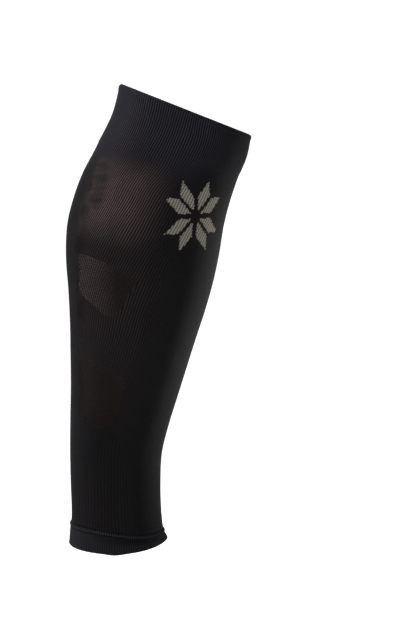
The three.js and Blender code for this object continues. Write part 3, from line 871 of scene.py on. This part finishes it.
# One window: the part of a ring of cloth inside its outline, with its net
def makeVent(label, window, side):
    sideName = "outer" if side < 0 else "inner"
    name = f"window_{label}_{sideName}"
    outline = windowOutline(window)
    # z changes with the place round the leg, so the rows reach beyond the window by the lean of the rings
    reach = reachOf(window)
    middle = window["at"] * reach
    lean = math.sin(math.radians(readRows(middle, "lean"))) * leg["calfDepth"] / 2 + windowSize["margin"]
    low, high = outline[:, 1].min() - lean, outline[:, 1].max() + lean
    bandLevels = [middle + band * window["height"] * reach / 2 for band in window["bands"]]

    def marks(turns, rise, row):
        away = 0.5 - np.abs(turns - 0.5)
        place, _ = legPoints(rise, turns, row["out"])
        around = knitZone(turns, rise, row)
        inner = smooth(0, window["blend"], fromEdge(outline, place[:, 1:] / mm))
        tone = window["glow"] * (1 - net["fadeShare"] * smooth(*net["fade"], away))
        tone = tone * (1 + window["mottle"] * (mottleAt(turns, rise, *net["mottles"]) - 1) / 2)
        for bandLevel in bandLevels:
            band = np.exp(-((place[:, 2] / mm - bandLevel) / net["bandHalf"]) ** 2)
            tone = tone * (1 - net["bandTone"] * band)
        return {"ribs": mix(around["ribs"], window["ribs"], inner),
                "sheer": mix(around["sheer"], tone, inner), "dense": around["dense"] * (1 - inner)}

    ribbed = window["ribs"] > 0
    rises = np.arange(low, high, windowSize["ribbedStep" if ribbed else "netStep"])
    rows = [{"rise": float(rise), "out": window["out"], "twisted": True} for rise in rises]
    rows += [{"rise": float(rise), "out": net["groundIn"], "twisted": True} for rise in rises[::-2]]
    ring = clothRing(name, rows, wales["count"], wales["perWale"] if ribbed else net["perWale"], marks)
    if ribbed:
        ribCloth(ring, tubeSize)
    else:
        ring.data.materials.append(netGround)
    cutWith(ring, windowBlock(outline, side), "INTERSECT")
    parts = [ring]
    if window["strand"]:
        within = walesInside(outline, side, low, high)
        lines = [[pointOn(rise, turn, net["strandOut"]) for rise, turn, _ in line] for line in within]
        strandsOf = linesObject(name + "_wales", lines)
        applyNodes(strandsOf, strands, {"Strand Radius": window["strand"] * mm, "Material": netYarn})
        half = 0.5 / wales["count"]
        bars = [[pointOn(rise, turn + shift * half, net["barOut"]) for shift in (-1, 0, 1)]
                for line in within for rise, turn, step in line if step % net["stepsToBar"] == 0]
        barsOf = linesObject(name + "_bars", bars)
        applyNodes(barsOf, strands, {"Strand Radius": window["bar"] * mm, "Strand Sides": net["barSides"],
                                     "Material": netYarn})
        parts += [strandsOf, barsOf]
        with bpy.context.temp_override(active_object=ring, object=ring, selected_objects=parts,
                                       selected_editable_objects=parts):
            bpy.ops.object.join()
    vent = parts[0]
    vent.name = name
    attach(vent, "root")
    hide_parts(f"vent_{label}_{sideName}")
    return vent


vents = [makeVent(label, window, side) for label, window in windows.items() for side in (-1, 1)]
print("windows netted", [len(vent.data.polygons) for vent in vents])


# Upper cuff: a denser knit with a rolled edge. The angles run over the edge, round its tip and back inside.
cuffSize = {
    "step": 5, "roll": 5, "rollOut": 0.5, "rollShares": [(0.25, 0.3), (0.6, 0.8)], "curl": 2.6,
    "overEdge": (0, 15, 30, 45, 60, 75, 90), "roundTip": (110,), "backInside": (90, 60, 30),
    "rows": 30, "innerRows": 6, "relief": 0.42, "roundness": 0.8,
}


# Rows of the cuff, up its outer face, over the edge and down its inner face
def cuffProfile():
    foot, top = level["cuffFoot"], level["mouth"]
    rollFoot, curlFoot = top - cuffSize["roll"], top - cuffSize["curl"]
    wall, rolled, curl = cloth["cuffWall"], cloth["cuffWall"] + cuffSize["rollOut"], cuffSize["curl"]
    rows = []
    for rise in np.linspace(foot, rollFoot, cuffSize["rows"]):
        out = mix(cloth["tubeWall"], wall, float(smooth(foot, foot + cuffSize["step"], rise)))
        rows.append({"rise": float(rise), "out": out})
    for share, out in cuffSize["rollShares"]:
        rows.append({"rise": mix(rollFoot, curlFoot, share), "out": mix(wall, rolled, out)})
    for depth, label in ((0, "overEdge"), (wall / 2, "roundTip"), (wall, "backInside")):
        for angle in cuffSize[label]:
            reach, turned = curl - depth, math.radians(angle)
            rows.append({"rise": curlFoot + reach * math.sin(turned), "inside": depth > 0,
                         "out": rolled - curl + reach * math.cos(turned)})
    for rise in np.linspace(rollFoot, foot, cuffSize["innerRows"]):
        rows.append({"rise": float(rise), "out": 0, "inside": True})
    for row in rows:
        row["twisted"] = True
    return rows


cuff = clothRing("upper_cuff_knit", cuffProfile(), wales["count"], wales["perWale"], knitZone)
ribCloth(cuff, cuffSize)
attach(cuff, "root")
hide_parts("upper_cuff")
print("cuff knitted", len(cuff.data.polygons))


# Rows of the hem band, round its folded edge, up its outer face and down its inner one
def hemProfile():
    foot, top = level["hem"], level["hemTop"] - cloth["seam"]
    wall, edge, lip = cloth["hemWall"], hemSize["edge"], hemSize["lip"]
    rows = []
    for share in hemSize["edgeShares"]:
        angle = share * math.pi / 2
        rows.append({"at": edge - math.cos(angle) * edge, "out": wall / 2 * (1 + math.sin(angle))})
    for at in np.linspace(edge, top - foot - lip, hemSize["rows"]):
        rows.append({"at": float(at), "out": wall})
    rows.append({"at": top - foot, "out": wall - lip})
    for at in np.linspace(top - foot, edge, hemSize["innerRows"]):
        rows.append({"at": float(at), "out": 0, "inside": True})
    rows.append({"at": edge * hemSize["foldRise"], "out": wall * hemSize["foldOut"], "inside": True})
    for row in rows:
        row["rise"] = foot + row["at"]
        share = row["at"] / (top - foot)
        droop, sag, crease, dark = [float(np.interp(share, *hemShares[label]))
                                    for label in ("droop", "sag", "crease", "dark")]
        row["drop"] = dropBy(droop, sag, share)
        row["relief"] = creaseBy(crease * (hemSize["creaseInside"] if row.get("inside") else 1))
        row["dense"], row["dark"] = hemSize["dense"], dark
    return rows


# The marks of the hem band and the welt. The band is darker at the crease, painted shade under the welt, and
# the welt over it lighter, a painted highlight.
def hemMarks(turns, rise, row):
    dark = row.get("dark", 0) * swellAt(turns, "paintedShadeAt")
    ribbed = row.get("ribs", hemSize["ribShare"]) * (1 - hemSize["paintedShadeCalm"] * dark)
    return {"ribs": 0 if row.get("inside") else ribbed, "dense": row.get("dense", 0) * (1 - dark)}


hem = clothRing("hem_band_knit", hemProfile(), wales["hem"], wales["perWale"], hemMarks)
ribCloth(hem, hemSize)
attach(hem, "root")
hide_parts("hem_band")
print("hem knitted", len(hem.data.polygons))


# Welt: a narrow raised roll between the hem band and the tube
weltSize = {
    "out": 1.1, "outPower": 0.7, "rows": 9, "relief": 0.3, "roundness": 0.8, "ribs": 1.1, "dense": 0.8,
    "paintedHighlightPower": 4, "light": 0.6,
}


def weltProfile():
    foot, top, wall = level["hemTop"], level["weltTop"], cloth["tubeWall"]
    rows = []
    for share in np.linspace(0, 1, weltSize["rows"]):
        swell = math.sin(share * math.pi)
        out = wall + weltSize["out"] * swell ** weltSize["outPower"]
        # The dense mark swells to a thin line along the middle of the welt, and the light mark lightens the
        # welt further: both a painted highlight
        dense = weltSize["dense"] * swell ** weltSize["paintedHighlightPower"]
        rows.append({"rise": mix(foot, top, float(share)), "out": out, "ribs": weltSize["ribs"],
                     "dense": dense, "dark": -weltSize["light"]})
    rows += [{"rise": top, "out": 0, "inside": True}, {"rise": foot, "out": 0, "inside": True}]
    for row in rows:
        row["drop"] = dropBy(0, 1, 1)
    return rows


welt = clothRing("hem_welt_knit", weltProfile(), wales["hem"], wales["perWale"], hemMarks)
ribCloth(welt, weltSize)
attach(welt, "root")
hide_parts("hem_welt")
print("welt knitted", len(welt.data.polygons))
# Camera, in metres
view = {
    "place": (-1.9, -0.050, 0.093), "target": (0, -0.0502, -0.0573),
    "lens": 141.2, "sensor": 36, "farthest": 50,
}
camera = addObject("camera", bpy.data.cameras.new("camera"))
camera.data.lens, camera.data.sensor_width, camera.data.sensor_fit = view["lens"], view["sensor"], "AUTO"
camera.data.clip_end = view["farthest"]
camera.location = view["place"]
camera.rotation_euler = (Vector(view["target"]) - Vector(view["place"])).to_track_quat("-Z", "Y").to_euler()
bpy.context.scene.camera = camera

# Floor with a wall behind, in metres, and the light of the room
studio = {
    "floor": -0.35, "size": 8.0, "wall": 5.0, "wallRise": 5, "bend": 1.0, "steps": 12,
    "colour": (0.9, 0.9, 0.9), "roughness": 0.9, "glow": 0.72, "sky": 0.12,
}


def makeStage():
    mesh = bpy.data.meshes.new("floor")
    half, ground, bend, count = studio["size"], studio["floor"], studio["bend"], studio["steps"]
    bendFoot = studio["wall"] - bend
    rows = [(-half, ground), (bendFoot, ground)]
    for step in range(1, count + 1):
        angle = step / count * math.pi / 2
        rows.append((bendFoot + math.sin(angle) * bend, ground + (1 - math.cos(angle)) * bend))
    rows.append((studio["wall"], ground + studio["wallRise"]))
    points = [(x, side * half, z) for x, z in rows for side in (1, -1)]
    faces = [(2 * row, 2 * row + 1, 2 * row + 3, 2 * row + 2) for row in range(len(rows) - 1)]
    mesh.from_pydata(points, [], faces)
    mesh.polygons.foreach_set("use_smooth", np.ones(len(faces), dtype=bool))
    floor = addObject("floor", mesh)
    paint = bpy.data.materials.new("paleFloor")
    paint.use_nodes = True
    shader = paint.node_tree.nodes["Principled BSDF"]
    shader.inputs["Base Color"].default_value = (*studio["colour"], 1)
    shader.inputs["Roughness"].default_value = studio["roughness"]
    shader.inputs["Emission Color"].default_value = (1, 1, 1, 1)
    shader.inputs["Emission Strength"].default_value = studio["glow"]
    mesh.materials.append(paint)


makeStage()

# Lamps: one along the calf, a weak one at the shin and one from above the camera. Metres, watts and degrees.
lamps = {
    "backEdge": {"place": (0.25, 1.0, 0.85), "aim": (0, 0, 0.05), "size": (0.4, 1.0), "power": 10.5,
                 "spread": 120},
    "shinEdge": {"place": (0.42, -0.48, -0.12), "aim": (0, -0.03, -0.07), "size": (0.15, 0.2), "power": 0.16,
                 "spread": 28},
    "front": {"place": (-0.7, 0.35, 1.0), "aim": (0, 0, 0), "size": (0.5, 0.5), "power": 3.7, "spread": 120},
}
for name, lamp in lamps.items():
    data = bpy.data.lights.new(name, "AREA")
    data.shape, data.size, data.size_y, data.energy = "RECTANGLE", *lamp["size"], lamp["power"]
    light = addObject(name, data)
    light.location = lamp["place"]
    light.rotation_euler = (Vector(lamp["aim"]) - light.location).to_track_quat("-Z", "Y").to_euler()
    data.spread = math.radians(lamp["spread"])

world = bpy.data.worlds.new("studio")
bpy.context.scene.world = world
world.use_nodes = True
sky = world.node_tree.nodes["Background"]
sky.inputs["Color"].default_value = (1, 1, 1, 1)
sky.inputs["Strength"].default_value = studio["sky"]
bpy.context.scene.view_settings.view_transform = "Standard"
print("camera, floor and lamps placed")
